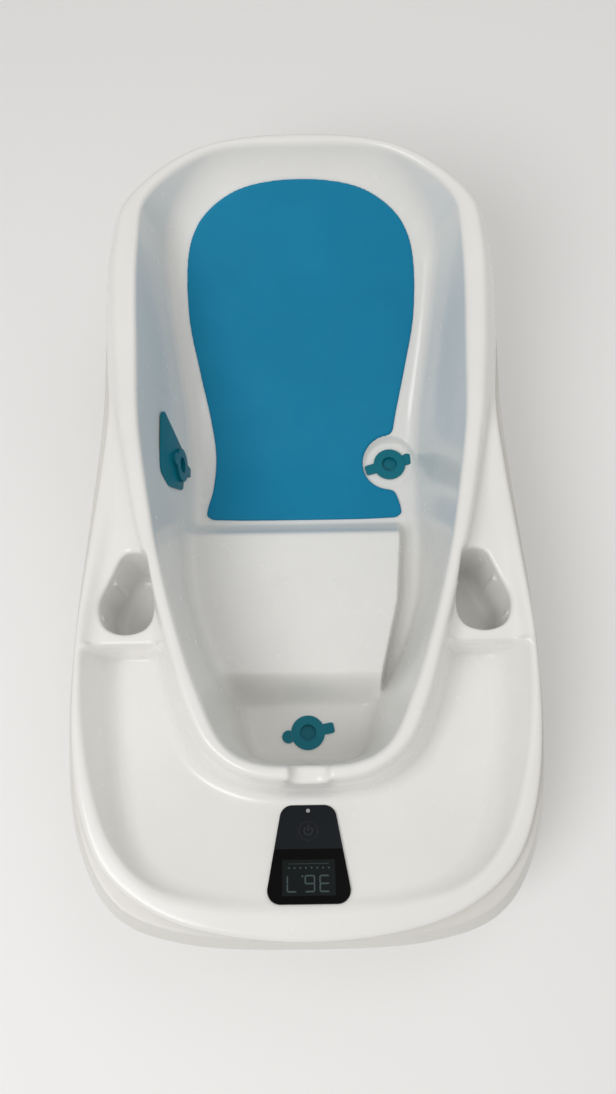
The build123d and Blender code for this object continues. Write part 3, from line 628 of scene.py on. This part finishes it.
SEGMENTS = {"a": (0, 2, 1, 2), "b": (1, 2, 1, 1), "c": (1, 1, 1, 0), "d": (0, 0, 1, 0), "e": (0, 1, 0, 0),
            "f": (0, 2, 0, 1), "g": (0, 1, 1, 1)}
DIGITS = {"3": "abcdg", "6": "acdefg", "7": "abc"}
strokes = []
for place, digit in enumerate("367"):
    for key in DIGITS[digit]:
        x0, y0, x1, y1 = SEGMENTS[key]
        left = 20 - place * 14.5 - (3 if place == 2 else 0)
        strokes.append(bar(left - x0 * 9, -22 - y0 * 7.5, left - x1 * 9, -22 - y1 * 7.5, 1.5))
strokes.append(disc(-6.2, -22.5, 1.0, 10))
face_plates("display_field", [[(-26, -41), (26, -41), (26, -6.5), (-26, -6.5)]], lcd_dark, -0.3, 0.1)
face_plates("display_digits", strokes, lcd_segment)
dots = [disc(-19.5 + step * 5.6, -14.5, 0.9, 12) for step in range(8)]
dots += [bar(-20, -10.5, 20, -10.5, 0.35)]
face_plates("display_dots", dots, lcd_segment)
symbol = ring(0, 22, 4.2, 0.9, radians(130), radians(410)) + [bar(0, 21.5, 0, 28, 1.0)]
power_symbol = face_plates("power_symbol", symbol, mark_grey, 0.0, 0.5)
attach(power_symbol, "power_button")
face_plates("button_ring", ring(0, 22, 9.4, 0.35, 0, 2 * np.pi, 40), mark_grey, -0.3, 0.12)

# ---- floor, light and camera ----
bpy.ops.mesh.primitive_plane_add(size=12)
floor = bpy.context.object
floor.name = "studio_floor"
floor_mat = material("studio_floor", (0.93, 0.93, 0.93), 0.9)
floor.data.materials.append(floor_mat)


def area_light(name, position, target, size, power):
    data = bpy.data.lights.new(name, "AREA")
    data.shape = "DISK"
    data.size = size
    data.energy = power
    lamp = bpy.data.objects.new(name, data)
    lamp.location = position
    lamp.rotation_euler = (Vector(target) - Vector(position)).to_track_quat("-Z", "Y").to_euler()
    bpy.context.scene.collection.objects.link(lamp)


area_light("window_light", (-0.9, -1.0, 1.9), (0, 0.2, 0.1), 1.1, 17)
area_light("room_light", (0.9, 0.9, 2.0), (0, 0, 0.1), 1.6, 4)
area_light("top_light", (0, -0.1, 2.4), (0, 0, 0), 1.6, 2)
world = bpy.data.worlds.new("studio")
world.use_nodes = True
world.node_tree.nodes["Background"].inputs["Color"].default_value = (1.0, 0.985, 0.955, 1)
world.node_tree.nodes["Background"].inputs["Strength"].default_value = 0.52
bpy.context.scene.world = world
bpy.context.scene.view_settings.view_transform = "Standard"

CAMERA_LENS = 28.9580           # for a sensor 36 mm high
CAMERA_PLACE = (0.004, -0.3024, 1.075)
CAMERA_PITCH = 72.8             # degrees below the horizon
CAMERA_ROLL = -0.85
camera_data = bpy.data.cameras.new("photo_camera")
camera_data.sensor_fit = "VERTICAL"
camera_data.sensor_height = 36
camera_data.lens = CAMERA_LENS
camera = bpy.data.objects.new("photo_camera", camera_data)
camera.location = CAMERA_PLACE
camera.rotation_euler = Euler((radians(90 - CAMERA_PITCH), 0, 0))
camera.rotation_euler.rotate_axis("Z", radians(CAMERA_ROLL))
bpy.context.scene.collection.objects.link(camera)
bpy.context.scene.camera = camera
